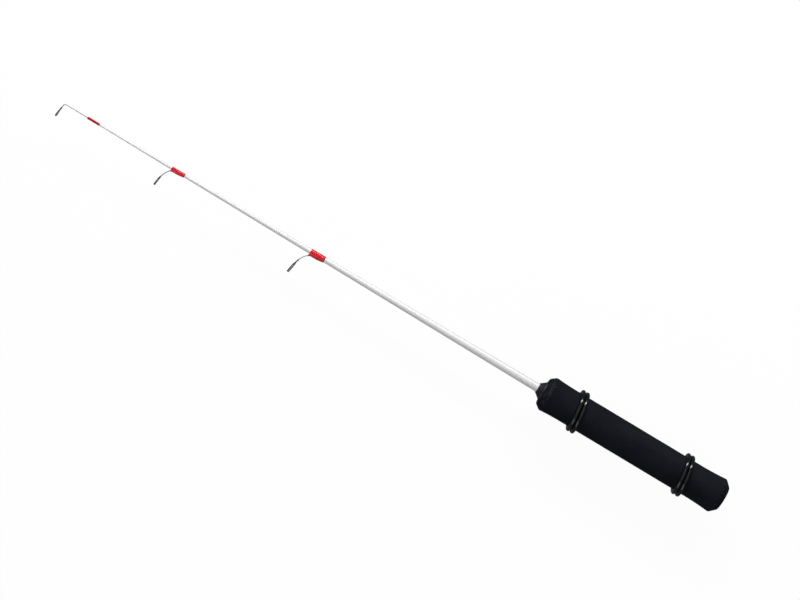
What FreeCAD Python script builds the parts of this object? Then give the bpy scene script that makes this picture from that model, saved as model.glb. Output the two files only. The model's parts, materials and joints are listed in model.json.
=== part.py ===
# Ice fishing rod: a solid tapered glass-fibre blank in a foam grip, two single-foot
# wire guides and a wire tip-top, each held by a red shrink sleeve, and two pairs of
# rubber bands that roll along the grip to hold a reel's foot.
#
# Frame, in millimetres: the origin is the centre of the butt face, +X runs along the
# blank to the tip, the guides point to +Y, and +Z is up when the rod lies on its bands.
import FreeCAD, Part
import math
import os

import Sketcher

# Driving dimensions: name, value in millimetres or degrees, meaning.
DIMENSIONS = [
    ("grip_length", 168.0, "foam grip, butt face to front face"),
    ("grip_waist_radius", 14.0, "straight middle of the grip"),
    ("grip_butt_radius", 15.1, "widest place of the flared butt"),
    ("grip_butt_face_radius", 10.2, "butt face inside its chamfer"),
    ("grip_butt_chamfer", 5.3, "length of the butt chamfer"),
    ("grip_front_radius", 14.8, "widest place of the flared front"),
    ("grip_front_face_radius", 11.5, "front face inside its chamfer"),
    ("grip_front_chamfer", 4.5, "length of the front chamfer"),
    ("waist_start", 29.0, "where the butt flare ends"),
    ("waist_end", 144.5, "where the front flare begins"),
    ("bore_radius", 3.9, "bore through the foam"),
    ("plug_head_radius", 6.0, "head of the plug that closes the bore"),
    ("plug_head_thick", 1.2, "head of the plug, let in flush"),
    ("plug_length", 8.0, "whole plug"),
    ("blank_start", 10.0, "inner end of the blank"),
    ("blank_end", 585.0, "tip end of the blank"),
    ("blank_radius", 3.55, "parallel part inside the grip"),
    ("blank_tip_radius", 0.71, "blank at its tip end"),
    ("blank_end_chamfer", 0.2, "broken edge at both ends of the blank"),
    ("check_length", 5.3, "winding check in front of the grip"),
    ("check_base_radius", 8.0, "its base, on the grip's front face"),
    ("check_front_radius", 4.45, "its front face"),
    ("check_lip", 0.7, "straight lip at its base"),
    ("check_front_land", 0.4, "straight land at its front"),
    ("band_section", 3.5, "thickness of a reel band"),
    ("band_gap", 0.05, "running gap between a band and the foam"),
    ("band_pitch", 3.75, "middle of a band to the middle of its neighbour"),
    ("front_pair_place", 135.8, "middle of the front pair"),
    ("rear_pair_place", 37.35, "middle of the rear pair"),
    ("foot_gap", 0.02, "glue film between a guide's foot and the blank"),
    ("sleeve_wall", 0.35, "wall of a shrink sleeve on the blank"),
    ("one_solder_radius", 0.8, "first guide's two solder beads"),
    ("two_solder_radius", 0.8, "solder bead where the leg meets its ring"),
    ("tip_solder_radius", 0.65, "solder bead where the leg meets its ring"),
    ("one_ring_place", 391.0, "first guide, ring centre along the rod"),
    ("one_ring_reach", 18.8, "ring centre from the rod's axis"),
    ("one_ring_lean", 10.0, "ring's lean towards the tip, in degrees"),
    ("one_leg_lean", 14.5, "leg's lean where it meets the ring, in degrees"),
    ("one_ring_outer", 4.55, "outer radius of the wire ring"),
    ("one_bore", 2.9, "radius of the hole for the line"),
    ("one_insert_width", 1.8, "insert, along its own axis"),
    ("one_wire", 0.9, "wire thickness"),
    ("one_foot_start", 373.0, "butt end of the foot"),
    ("one_ramp", 4.5, "length of the foot that is ground to a ramp"),
    ("one_near_bend", 3.2, "radius of the bend at the sleeve"),
    ("one_far_bend", 16.0, "radius of the long bend"),
    ("one_straight", 3.0, "straight end of the leg"),
    ("one_bead_back", 3.6, "leg bead's distance back from the ring's wire"),
    ("one_sleeve_start", 371.3, "butt end of the shrink sleeve"),
    ("one_sleeve_end", 384.4, "tip end of the shrink sleeve"),
    ("two_ring_place", 517.35, "second guide, ring centre along the rod"),
    ("two_ring_reach", 15.0, "ring centre from the rod's axis"),
    ("two_ring_lean", 7.0, "ring's lean towards the tip, in degrees"),
    ("two_leg_lean", 12.0, "leg's lean where it meets the ring, in degrees"),
    ("two_ring_outer", 3.6, "outer radius of the wire ring"),
    ("two_bore", 2.2, "radius of the hole for the line"),
    ("two_insert_width", 1.6, "insert, along its own axis"),
    ("two_wire", 0.8, "wire thickness"),
    ("two_foot_start", 502.0, "butt end of the foot"),
    ("two_ramp", 4.0, "length of the foot that is ground to a ramp"),
    ("two_near_bend", 2.5, "radius of the bend at the sleeve"),
    ("two_far_bend", 18.0, "radius of the long bend"),
    ("two_straight", 1.0, "straight end of the leg"),
    ("two_sleeve_start", 500.4, "butt end of the shrink sleeve"),
    ("two_sleeve_end", 512.4, "tip end of the shrink sleeve"),
    ("tip_ring_place", 612.0, "tip-top, ring centre along the rod"),
    ("tip_ring_reach", 9.3, "ring centre from the rod's axis"),
    ("tip_ring_lean", 5.0, "ring's lean towards the tip, in degrees"),
    ("tip_leg_lean", 8.0, "leg's lean, in degrees"),
    ("tip_ring_outer", 2.65, "outer radius of the wire ring"),
    ("tip_bore", 1.5, "radius of the hole for the line"),
    ("tip_insert_width", 1.6, "insert, along its own axis"),
    ("tip_wire", 0.7, "wire thickness"),
    ("tip_wire_start", 585.2, "inner end of the wire, against the blank"),
    ("tip_bend", 1.8, "radius of the bend over the end of the rod"),
    ("tip_collar_radius", 0.65, "collar on the leg"),
    ("tip_collar_from", 1.55, "collar's near end, back from the ring's wire"),
    ("tip_collar_to", 3.5, "collar's far end, back from the ring's wire"),
    ("tip_tube_start", 579.6, "butt end of the tip tube"),
    ("tip_tube_end", 589.4, "swaged tip end of the tip tube"),
    ("tip_tube_step", 585.2, "where its bore narrows from blank to wire"),
    ("tip_tube_bore", 0.76, "bore radius over the blank"),
    ("tip_tube_radius", 0.88, "outer radius"),
    ("tip_sleeve_start", 578.8, "butt end of the tip's shrink sleeve"),
    ("tip_sleeve_end", 590.1, "tip end of the tip's shrink sleeve"),
    ("tip_sleeve_wall", 0.12, "wall of the tip's shrink sleeve"),
]

# The flanges of a ring insert reach past the middle of the wire that lies in its
# groove, so that the wire can't slip off: this share of the wire's thickness.
FLANGE_PAST_WIRE_MIDDLE = 0.3
GROOVE_PLAY = 0.02  # mm between the wire and its groove
LIP_SHARE = 0.28  # of the insert's width, rounded at each end of its bore
FOOT_END_SHARE = 0.25  # of the wire's thickness, left at the ground end of a foot
CUT_WIDTH_SHARE = 4.0  # of the wire's thickness, so that a cut passes right through
SLEEVE_SINK_SHARE = 0.25  # of the wire's thickness, where the foot has run out
COLLAR_EDGE_SHARE = 0.33  # of the collar's wall, broken at both of its ends
SWAGE_SHARE = 0.5  # of the tip tube's wall over the wire, drawn in at its end
SAME_PLACE = 1e-6
PARTS_FOLDER = "parts"

doc = FreeCAD.newDocument("ice_fishing_rod")
dims = doc.addObject("Spreadsheet::Sheet", "dims")


def fill_sheet():
    for row, (alias, size, meaning) in enumerate(DIMENSIONS, start=1):
        dims.set(f"A{row}", alias)
        dims.set(f"B{row}", str(size))
        dims.set(f"C{row}", meaning)
        dims.setAlias(f"B{row}", alias)
    doc.recompute()


def value(expression):
    """The number that an expression on the sheet gives now."""
    return float(dims.evalExpression(expression))


def new_body(name):
    body = doc.addObject("PartDesign::Body", name)
    body.Label = name
    return body


def plane(body, role):
    return next(f for f in body.Origin.OriginFeatures if f.Role == role)


def new_sketch(body, name, role="XY_Plane"):
    sketch = body.newObject("Sketcher::SketchObject", name)
    sketch.AttachmentSupport = (plane(body, role), [""])
    sketch.MapMode = "FlatFace"
    return sketch


def constrain(sketch, *terms, bound=None):
    """Adds a constraint. bound is the expression that its size follows."""
    if bound is not None:
        terms = (*terms, value(bound))
    number = sketch.addConstraint(Sketcher.Constraint(*terms))
    if bound is not None:
        sketch.setExpression(f"Constraints[{number}]", bound)


def pin(sketch, geometry, end, x, y):
    """Holds one end or centre of a sketch's line, arc or circle at a place."""
    constrain(sketch, "DistanceX", -1, 1, geometry, end, bound=x)
    constrain(sketch, "DistanceY", -1, 1, geometry, end, bound=y)


def point(x, y):
    return FreeCAD.Vector(value(x), value(y), 0)


def arc_leaving(start, direction, end):
    """The arc from start to end that leaves start along direction."""
    chord = end - start
    normal = FreeCAD.Vector(-direction.y, direction.x, 0)
    radius = chord.dot(chord) / (2 * chord.dot(normal))
    centre = start + normal * radius
    middle = (start + end) * 0.5 - centre
    middle.normalize()
    return Part.Arc(start, centre + middle * abs(radius), end)


def close_and_pin(sketch, corners, places, smooth=()):
    """Joins an outline's sides end to end and holds each corner in place.

    A side in smooth runs on from the side before it without a corner.
    """
    first, last = [], []
    for side, place in enumerate(places):
        # a sketch stores every arc anticlockwise, so its first end is looked up
        swapped = (sketch.getPoint(side, 1) - place).Length > SAME_PLACE
        first.append(2 if swapped else 1)
        last.append(1 if swapped else 2)
    for side, (x, y) in enumerate(corners):
        before = (side - 1) % len(corners)
        kind = "Tangent" if side in smooth else "Coincident"
        constrain(sketch, kind, before, last[before], side, first[side])
        pin(sketch, side, first[side], x, y)


def outline(body, name, corners, flares=()):
    """A closed outline in the XY plane, each corner an (x, y) pair of expressions.

    flares holds (side, neighbour): that side is an arc, smooth with its neighbour.
    """
    sketch = new_sketch(body, name)
    places = [point(x, y) for x, y in corners]
    ends = places[1:] + places[:1]
    curved = dict(flares)
    for side, (start, end) in enumerate(zip(places, ends)):
        if side not in curved:
            sketch.addGeometry(Part.LineSegment(start, end))
            continue
        beside = curved[side]
        along = ends[beside] - places[beside]
        along.normalize()
        if beside < side:
            sketch.addGeometry(arc_leaving(start, along, end))
        else:
            sketch.addGeometry(arc_leaving(end, along * -1, start))
    smooth = {max(pair) for pair in flares}
    close_and_pin(sketch, corners, places, smooth)
    return sketch


def turn(body, name, sketch, axis="H_Axis"):
    """Turns a sketch right round one of its axes."""
    turning = body.newObject("PartDesign::Revolution", name)
    turning.Profile = (sketch, [""])
    turning.ReferenceAxis = (sketch, [axis])
    turning.Angle = 360.0


def turned_body(name, corners, flares=()):
    """A body with an outline turned about the X axis, as on a lathe."""
    body = new_body(name)
    turn(body, f"{name}_turning", outline(body, f"{name}_outline", corners, flares))
    return body


def blank_radius_at(place):
    """The blank's radius as an expression: parallel to the check, then a taper."""
    start = "(dims.grip_length + dims.check_length)"
    run = f"(dims.blank_end - {start})"
    fall = "(dims.blank_radius - dims.blank_tip_radius)"
    return f"(dims.blank_radius - {fall} * ({place} - {start}) / {run})"


def make_blank():
    return turned_body(
        "blank",
        [
            ("dims.blank_start", "0"),
            ("dims.blank_start", "dims.blank_radius - dims.blank_end_chamfer"),
            ("dims.blank_start + dims.blank_end_chamfer", "dims.blank_radius"),
            ("dims.grip_length + dims.check_length", "dims.blank_radius"),
            ("dims.blank_end - dims.blank_end_chamfer", "dims.blank_tip_radius"),
            ("dims.blank_end", "dims.blank_tip_radius - dims.blank_end_chamfer"),
            ("dims.blank_end", "0"),
        ],
    )


def make_grip():
    """The foam: chamfered ends, a flare at each, and a counterbore for the plug."""
    return turned_body(
        "grip",
        [
            ("0", "dims.plug_head_radius"),
            ("0", "dims.grip_butt_face_radius"),
            ("dims.grip_butt_chamfer", "dims.grip_butt_radius"),
            ("dims.waist_start", "dims.grip_waist_radius"),
            ("dims.waist_end", "dims.grip_waist_radius"),
            ("dims.grip_length - dims.grip_front_chamfer", "dims.grip_front_radius"),
            ("dims.grip_length", "dims.grip_front_face_radius"),
            ("dims.grip_length", "dims.bore_radius"),
            ("dims.plug_head_thick", "dims.bore_radius"),
            ("dims.plug_head_thick", "dims.plug_head_radius"),
        ],
        flares=[(2, 3), (4, 3)],
    )


def make_grip_bond():
    """The film of glue that fills the bore round the blank."""
    return turned_body(
        "grip_bond",
        [
            ("dims.blank_start", "dims.blank_radius"),
            ("dims.blank_start", "dims.bore_radius"),
            ("dims.grip_length", "dims.bore_radius"),
            ("dims.grip_length", "dims.blank_radius"),
        ],
    )


def make_butt_plug():
    return turned_body(
        "butt_plug",
        [
            ("0", "0"),
            ("0", "dims.plug_head_radius"),
            ("dims.plug_head_thick", "dims.plug_head_radius"),
            ("dims.plug_head_thick", "dims.bore_radius"),
            ("dims.plug_length", "dims.bore_radius"),
            ("dims.plug_length", "0"),
        ],
    )


def make_winding_check():
    """The cone that hides the joint between the foam and the blank."""
    front = "dims.grip_length + dims.check_length"
    return turned_body(
        "winding_check",
        [
            ("dims.grip_length", "dims.blank_radius"),
            ("dims.grip_length", "dims.check_base_radius"),
            ("dims.grip_length + dims.check_lip", "dims.check_base_radius"),
            (f"{front} - dims.check_front_land", "dims.check_front_radius"),
            (front, "dims.check_front_radius"),
            (front, "dims.blank_radius"),
        ],
    )


def make_bands():
    """Four rubber rings. The outer one of each pair is the one nearer its grip end."""
    half = "dims.band_pitch / 2"
    places = {
        "front_band_outer": f"dims.front_pair_place + {half}",
        "front_band_inner": f"dims.front_pair_place - {half}",
        "rear_band_inner": f"dims.rear_pair_place + {half}",
        "rear_band_outer": f"dims.rear_pair_place - {half}",
    }
    bands = []
    for name, place in places.items():
        band = doc.addObject("Part::Torus", name)
        band.Label = name
        band.setExpression(
            "Radius1", "dims.grip_waist_radius + dims.band_gap + dims.band_section / 2"
        )
        band.setExpression("Radius2", "dims.band_section / 2")
        across = FreeCAD.Rotation(FreeCAD.Vector(0, 1, 0), 90)
        band.Placement = FreeCAD.Placement(FreeCAD.Vector(), across)
        band.setExpression("Placement.Base.x", place)
        bands.append(band)
    return bands


def wire_circle(body, name, role, wire, x, y):
    """The round section of a wire, on one of the body's planes."""
    sketch = new_sketch(body, name, role)
    centre = FreeCAD.Vector(value(x), value(y), 0)
    up = FreeCAD.Vector(0, 0, 1)
    sketch.addGeometry(Part.Circle(centre, up, value(f"{wire} / 2")))
    constrain(sketch, "Radius", 0, bound=f"{wire} / 2")
    pin(sketch, 0, 3, x, y)
    return sketch


def swept_wire(body, path, wire, start_x, start_y):
    """Sweeps a wire's round section, which stands at the path's start."""
    section = wire_circle(body, f"{body.Label}_section", "YZ_Plane", wire, start_y, "0")
    section.setExpression("AttachmentOffset.Base.z", start_x)
    sweep = body.newObject("PartDesign::AdditivePipe", f"{body.Label}_sweep")
    sweep.Profile = (section, [""])
    sweep.Spine = (path, [""])


def add_ring(body, kind):
    """The eye of the wire: a ring round the insert, which leans with it."""
    wire = f"dims.{kind}_wire"
    lean = f"(dims.{kind}_ring_lean * 1 deg)"
    middle = f"(dims.{kind}_ring_outer - {wire} / 2)"
    place, reach = f"dims.{kind}_ring_place", f"dims.{kind}_ring_reach"
    x = f"{place} - {middle} * sin({lean})"
    y = f"{reach} - {middle} * cos({lean})"
    sketch = wire_circle(body, f"{body.Label}_ring_section", "XY_Plane", wire, x, y)
    centre = point(place, reach)
    along = FreeCAD.Vector(value(f"cos({lean})"), -value(f"sin({lean})"), 0)
    axis = sketch.addGeometry(Part.LineSegment(centre, centre + along), True)
    pin(sketch, axis, 1, place, reach)
    pin(sketch, axis, 2, f"{place} + cos({lean})", f"{reach} - sin({lean})")
    turn(body, f"{body.Label}_ring", sketch, "Axis0")


def leg_end(kind):
    """Where the leg meets the middle of its ring's wire, as two expressions."""
    lean = f"(dims.{kind}_ring_lean * 1 deg)"
    middle = f"(dims.{kind}_ring_outer - dims.{kind}_wire / 2)"
    x = f"(dims.{kind}_ring_place - {middle} * sin({lean}))"
    y = f"(dims.{kind}_ring_reach - {middle} * cos({lean}))"
    return x, y


def back_along_leg(kind, distance):
    """A place on the leg's straight end, a distance back from the ring's wire."""
    x, y = leg_end(kind)
    lean = f"(dims.{kind}_leg_lean * 1 deg)"
    return f"({x} - {distance} * sin({lean}))", f"({y} - {distance} * cos({lean}))"


def add_bead(body, name, x, y, radius):
    bead = body.newObject("PartDesign::AdditiveSphere", f"{body.Label}_{name}")
    bead.setExpression("Radius", radius)
    bead.setExpression("Placement.Base.x", x)
    bead.setExpression("Placement.Base.y", y)


def add_ring_bead(body, kind):
    """The solder where a leg meets its ring, on the edges of the insert's flanges."""
    radius = f"dims.{kind}_solder_radius"
    clear = f"({radius} + dims.{kind}_wire * {FLANGE_PAST_WIRE_MIDDLE})"
    add_bead(body, "ring_bead", *back_along_leg(kind, clear), radius)


def foot_height(kind):
    """The middle of the foot's wire, which lies along the blank."""
    surface = blank_radius_at(f"dims.{kind}_foot_start")
    return f"({surface} + dims.foot_gap + dims.{kind}_wire / 2)"


def arc_about(centre, radius, start, end):
    """A sketch arc from one angle to another, in radians."""
    circle = Part.Circle(centre, FreeCAD.Vector(0, 0, 1), radius)
    return Part.ArcOfCircle(circle, start, end)


def guide_bends(kind):
    """The bends that turn the wire from the blank's direction to the leg's.

    Gives the centre of the short bend, the centre of the long one, the angle that the
    short one takes, and the angle of the leg. The first of these angles follows from
    the height that both bends have to climb.
    """
    near, far = value(f"dims.{kind}_near_bend"), value(f"dims.{kind}_far_bend")
    end_angle = math.radians(90 - value(f"dims.{kind}_leg_lean"))
    corner = point(*back_along_leg(kind, f"dims.{kind}_straight"))
    climb = corner.y - value(foot_height(kind))
    split = math.acos((climb - near + far * math.cos(end_angle)) / (far - near))
    far_centre = FreeCAD.Vector(
        corner.x - far * math.sin(end_angle), corner.y + far * math.cos(end_angle), 0
    )
    toward = FreeCAD.Vector(math.sin(split), -math.cos(split), 0)
    near_centre = far_centre + toward * (far - near)
    return near_centre, far_centre, split, end_angle


def wire_height_at(kind, place):
    """The height of the wire's middle at a place on one of its bends."""
    near_centre, far_centre, split, _ = guide_bends(kind)
    near, far = value(f"dims.{kind}_near_bend"), value(f"dims.{kind}_far_bend")
    along = value(place)
    if along < near_centre.x + near * math.sin(split):
        return near_centre.y - math.sqrt(near**2 - (along - near_centre.x) ** 2)
    return far_centre.y - math.sqrt(far**2 - (along - far_centre.x) ** 2)


def guide_path(body, kind):
    """The guide's wire: along the blank, a short bend, a long bend, the leg."""
    foot_y = foot_height(kind)
    near, far = value(f"dims.{kind}_near_bend"), value(f"dims.{kind}_far_bend")
    near_centre, far_centre, split, end_angle = guide_bends(kind)
    corner = point(*back_along_leg(kind, f"dims.{kind}_straight"))
    bend_start = FreeCAD.Vector(near_centre.x, value(foot_y), 0)
    quarter = math.pi / 2

    sketch = new_sketch(body, f"{body.Label}_path")
    sketch.addGeometry(
        [
            Part.LineSegment(point(f"dims.{kind}_foot_start", foot_y), bend_start),
            arc_about(near_centre, near, -quarter, split - quarter),
            arc_about(far_centre, far, split - quarter, end_angle - quarter),
            Part.LineSegment(corner, point(*leg_end(kind))),
        ]
    )
    pin(sketch, 0, 1, f"dims.{kind}_foot_start", foot_y)
    constrain(sketch, "Horizontal", 0)
    for side in range(3):
        constrain(sketch, "Tangent", side, 2, side + 1, 1)
    constrain(sketch, "Radius", 1, bound=f"dims.{kind}_near_bend")
    constrain(sketch, "Radius", 2, bound=f"dims.{kind}_far_bend")
    constrain(sketch, "Distance", 3, bound=f"dims.{kind}_straight")
    pin(sketch, 3, 2, *leg_end(kind))
    return sketch


def grind_foot(body, kind):
    """Grinds the foot's end to a ramp, so that the sleeve climbs it smoothly."""
    wire = f"dims.{kind}_wire"
    start = f"dims.{kind}_foot_start"
    bottom = f"{foot_height(kind)} - {wire} / 2"
    low = f"{bottom} + {wire} * {FOOT_END_SHARE}"
    top = f"{foot_height(kind)} + {wire}"
    corners = [
        (f"{start} - {wire}", low),
        (start, low),
        (f"{start} + dims.{kind}_ramp", f"{bottom} + {wire}"),
        (f"{start} + dims.{kind}_ramp", top),
        (f"{start} - {wire}", top),
    ]
    sketch = outline(body, f"{body.Label}_ramp_outline", corners)
    ramp = body.newObject("PartDesign::Pocket", f"{body.Label}_ramp")
    ramp.Profile = (sketch, [""])
    ramp.setExpression("Length", f"{wire} * {CUT_WIDTH_SHARE}")
    ramp.SideType = "Symmetric"


def make_guide_frame(node, kind):
    """The foot, leg and eye of a guide, which are one wire and its solder beads."""
    body = new_body(node)
    path = guide_path(body, kind)
    wire = f"dims.{kind}_wire"
    swept_wire(body, path, wire, f"dims.{kind}_foot_start", foot_height(kind))
    grind_foot(body, kind)
    add_ring(body, kind)
    add_ring_bead(body, kind)
    if kind == "one":
        place = back_along_leg(kind, "dims.one_bead_back")
        add_bead(body, "leg_bead", *place, "dims.one_solder_radius")
    return body


def make_ring_insert(node, kind):
    """The hard ring that the line runs through, with a groove for the wire."""
    body = new_body(node)
    wire = f"dims.{kind}_wire"
    half = f"dims.{kind}_insert_width / 2"
    middle = f"(dims.{kind}_ring_outer - {wire} / 2)"
    flange = f"({middle} + {wire} * {FLANGE_PAST_WIRE_MIDDLE})"
    groove = f"({wire} / 2 + {GROOVE_PLAY})"
    mouth = f"sqrt({groove} ^ 2 - ({wire} * {FLANGE_PAST_WIRE_MIDDLE}) ^ 2)"
    lip = f"dims.{kind}_insert_width * {LIP_SHARE}"
    bore = f"dims.{kind}_bore"
    corners = [
        (f"-{half} + {lip}", bore),
        (f"-{half}", f"{bore} + {lip}"),
        (f"-{half}", flange),
        (f"-{mouth}", flange),
        (mouth, flange),
        (half, flange),
        (half, f"{bore} + {lip}"),
        (f"{half} - {lip}", bore),
    ]
    # the sides that are arcs, by the corner that each starts from
    butt_lip, wire_groove, tip_lip = 0, 3, 6
    sketch = new_sketch(body, f"{node}_outline")
    places = [point(x, y) for x, y in corners]
    for side, start in enumerate(places):
        end = places[(side + 1) % len(places)]
        if side in (butt_lip, tip_lip):
            sketch.addGeometry(Part.Arc(*lip_arc(start, end, side == butt_lip)))
        elif side == wire_groove:
            deep = point("0", f"{middle} - {groove}")
            sketch.addGeometry(Part.Arc(start, deep, end))
        else:
            sketch.addGeometry(Part.LineSegment(start, end))
    close_and_pin(sketch, corners, places)
    constrain(sketch, "Radius", butt_lip, bound=lip)
    constrain(sketch, "Radius", tip_lip, bound=lip)
    constrain(sketch, "Radius", wire_groove, bound=groove)
    turn(body, f"{node}_turning", sketch)
    lean = FreeCAD.Rotation(FreeCAD.Vector(0, 0, -1), value(f"dims.{kind}_ring_lean"))
    body.Placement = FreeCAD.Placement(FreeCAD.Vector(), lean)
    body.setExpression("Placement.Base.x", f"dims.{kind}_ring_place")
    body.setExpression("Placement.Base.y", f"dims.{kind}_ring_reach")
    body.setExpression("Placement.Rotation.Angle", f"dims.{kind}_ring_lean * 1 deg")
    return body


def lip_arc(start, end, at_butt):
    """Three points of the quarter circle that rounds one lip of a bore."""
    if at_butt:
        centre = FreeCAD.Vector(start.x, end.y, 0)
    else:
        centre = FreeCAD.Vector(end.x, start.y, 0)
    radius = abs(end.x - start.x)
    outward = (start + end) * 0.5 - centre
    outward.normalize()
    return start, centre + outward * radius, end


def sleeve_section(body, name, place, big, small, apart):
    """A shrink sleeve's outline across the rod: two circles inside one tight skin.

    big is the radius round the blank, small the radius round the foot, and apart is
    the distance between their centres.
    """
    sketch = new_sketch(body, name, "YZ_Plane")
    sketch.setExpression("AttachmentOffset.Base.z", place)
    r, q, d = value(big), value(small), value(apart)
    touch = math.acos((r - q) / d)
    unit = FreeCAD.Vector(math.cos(touch), math.sin(touch), 0)
    mirror = FreeCAD.Vector(unit.x, -unit.y, 0)
    foot = FreeCAD.Vector(d, 0, 0)
    centre = FreeCAD.Vector()
    sketch.addGeometry(
        [
            arc_about(centre, r, touch, 2 * math.pi - touch),
            Part.LineSegment(mirror * r, foot + mirror * q),
            arc_about(foot, q, -touch, touch),
            Part.LineSegment(foot + unit * q, unit * r),
        ]
    )
    constrain(sketch, "Tangent", 0, 2, 1, 1)
    constrain(sketch, "Tangent", 1, 2, 2, 1)
    constrain(sketch, "Tangent", 2, 2, 3, 1)
    constrain(sketch, "Tangent", 3, 2, 0, 1)
    constrain(sketch, "Radius", 0, bound=big)
    constrain(sketch, "Radius", 2, bound=small)
    pin(sketch, 0, 3, "0", "0")
    pin(sketch, 2, 3, apart, "0")
    return sketch


def make_guide_sleeve(node, kind, blank, frame):
    """The shrink tube over the foot: its skin, less the blank and the wire inside."""
    wire = f"dims.{kind}_wire"
    wall = "dims.sleeve_wall"
    start, end = f"dims.{kind}_sleeve_start", f"dims.{kind}_sleeve_end"
    crest = f"dims.{kind}_foot_start + dims.{kind}_ramp"
    bend = f"{guide_bends(kind)[0].x}"
    small = f"{wire} / 2 + {wall}"
    skin = new_body(f"{node}_skin")
    sections = [
        # at the butt end the foot has ended, and the skin is nearly round
        sleeve_section(
            skin, f"{node}_butt", start,
            f"{blank_radius_at(start)} + {wall}", small,
            f"{blank_radius_at(start)} - {wire} * {SLEEVE_SINK_SHARE}",
        ),
        sleeve_section(
            skin, f"{node}_crest", crest,
            f"{blank_radius_at(crest)} + {wall}", small, foot_height(kind),
        ),
        sleeve_section(
            skin, f"{node}_bend", bend,
            f"{blank_radius_at(bend)} + {wall}", small, foot_height(kind),
        ),
        # at the tip end the skin has risen with the leg
        sleeve_section(
            skin, f"{node}_tip", end,
            f"{blank_radius_at(end)} + {wall}", small, f"{wire_height_at(kind, end)}",
        ),
    ]
    loft = skin.newObject("PartDesign::AdditiveLoft", f"{node}_loft")
    loft.Profile = (sections[0], [""])
    loft.Sections = [(section, [""]) for section in sections[1:]]
    loft.Ruled = True
    inside = doc.addObject("Part::MultiFuse", f"{node}_inside")
    inside.Shapes = [blank, frame]
    sleeve = doc.addObject("Part::Cut", node)
    sleeve.Label = node
    sleeve.Base = skin
    sleeve.Tool = inside
    return sleeve


def make_tip_frame():
    """The tip-top's wire: out of its tube, over the end of the rod, and an eye."""
    body = new_body("tip_frame")
    leg_x, leg_y = leg_end("tip")
    bend = value("dims.tip_bend")
    climb = math.radians(90 - value("dims.tip_leg_lean"))
    end = point(leg_x, leg_y)
    length = (end.y - bend * (1 - math.cos(climb))) / math.sin(climb)
    corner = end - FreeCAD.Vector(math.cos(climb), math.sin(climb), 0) * length
    centre = FreeCAD.Vector(corner.x - bend * math.sin(climb), bend, 0)
    quarter = math.pi / 2

    path = new_sketch(body, "tip_frame_path")
    path.addGeometry(
        [
            Part.LineSegment(point("dims.tip_wire_start", "0"),
                             FreeCAD.Vector(centre.x, 0, 0)),
            arc_about(centre, bend, -quarter, climb - quarter),
            Part.LineSegment(corner, end),
        ]
    )
    pin(path, 0, 1, "dims.tip_wire_start", "0")
    constrain(path, "Horizontal", 0)
    constrain(path, "Tangent", 0, 2, 1, 1)
    constrain(path, "Tangent", 1, 2, 2, 1)
    constrain(path, "Radius", 1, bound="dims.tip_bend")
    constrain(path, "Angle", -1, 1, 2, 1, bound="(90 - dims.tip_leg_lean) * 1 deg")
    pin(path, 2, 2, leg_x, leg_y)
    swept_wire(body, path, "dims.tip_wire", "dims.tip_wire_start", "0")
    add_ring_bead(body, "tip")
    add_ring(body, "tip")
    return body


def make_tip_collar():
    """The collar that grips the tip wire's leg just above its eye."""
    length = "dims.tip_collar_to - dims.tip_collar_from"
    edge = f"(dims.tip_collar_radius - dims.tip_wire / 2) * {COLLAR_EDGE_SHARE}"
    body = turned_body(
        "tip_collar",
        [
            ("0", "dims.tip_wire / 2"),
            ("0", f"dims.tip_collar_radius - {edge}"),
            (edge, "dims.tip_collar_radius"),
            (f"{length} - {edge}", "dims.tip_collar_radius"),
            (length, f"dims.tip_collar_radius - {edge}"),
            (length, "dims.tip_wire / 2"),
        ],
    )
    x, y = back_along_leg("tip", "dims.tip_collar_to")
    upright = FreeCAD.Rotation(FreeCAD.Vector(0, 0, 1), value("90 - dims.tip_leg_lean"))
    body.Placement = FreeCAD.Placement(FreeCAD.Vector(), upright)
    body.setExpression("Placement.Base.x", x)
    body.setExpression("Placement.Base.y", y)
    body.setExpression("Placement.Rotation.Angle", "(90 - dims.tip_leg_lean) * 1 deg")
    return body


def make_tip_tube():
    """The tube that joins blank and wire, swaged down on the wire."""
    swage = f"(dims.tip_tube_radius - dims.tip_wire / 2) * {SWAGE_SHARE}"
    return turned_body(
        "tip_tube",
        [
            ("dims.tip_tube_start", "dims.tip_tube_bore"),
            ("dims.tip_tube_start", "dims.tip_tube_radius"),
            (f"dims.tip_tube_end - {swage}", "dims.tip_tube_radius"),
            ("dims.tip_tube_end", f"dims.tip_tube_radius - {swage}"),
            ("dims.tip_tube_end", "dims.tip_wire / 2"),
            ("dims.tip_tube_step", "dims.tip_wire / 2"),
            ("dims.tip_tube_step", "dims.tip_tube_bore"),
        ],
    )


def make_tip_sleeve():
    """The shrink tube over the tip tube, drawn in at both ends."""
    swage = f"(dims.tip_tube_radius - dims.tip_wire / 2) * {SWAGE_SHARE}"
    outer = "dims.tip_tube_radius + dims.tip_sleeve_wall"
    return turned_body(
        "tip_sleeve",
        [
            ("dims.tip_sleeve_start", "dims.tip_tube_bore"),
            ("dims.tip_sleeve_start", "dims.tip_tube_bore + dims.tip_sleeve_wall"),
            ("dims.tip_tube_start", outer),
            (f"dims.tip_tube_end - {swage}", outer),
            ("dims.tip_sleeve_end", "dims.tip_wire / 2 + dims.tip_sleeve_wall"),
            ("dims.tip_sleeve_end", "dims.tip_wire / 2"),
            ("dims.tip_tube_end", "dims.tip_wire / 2"),
            ("dims.tip_tube_end", f"dims.tip_tube_radius - {swage}"),
            (f"dims.tip_tube_end - {swage}", "dims.tip_tube_radius"),
            ("dims.tip_tube_start", "dims.tip_tube_radius"),
            ("dims.tip_tube_start", "dims.tip_tube_bore"),
        ],
    )


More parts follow.
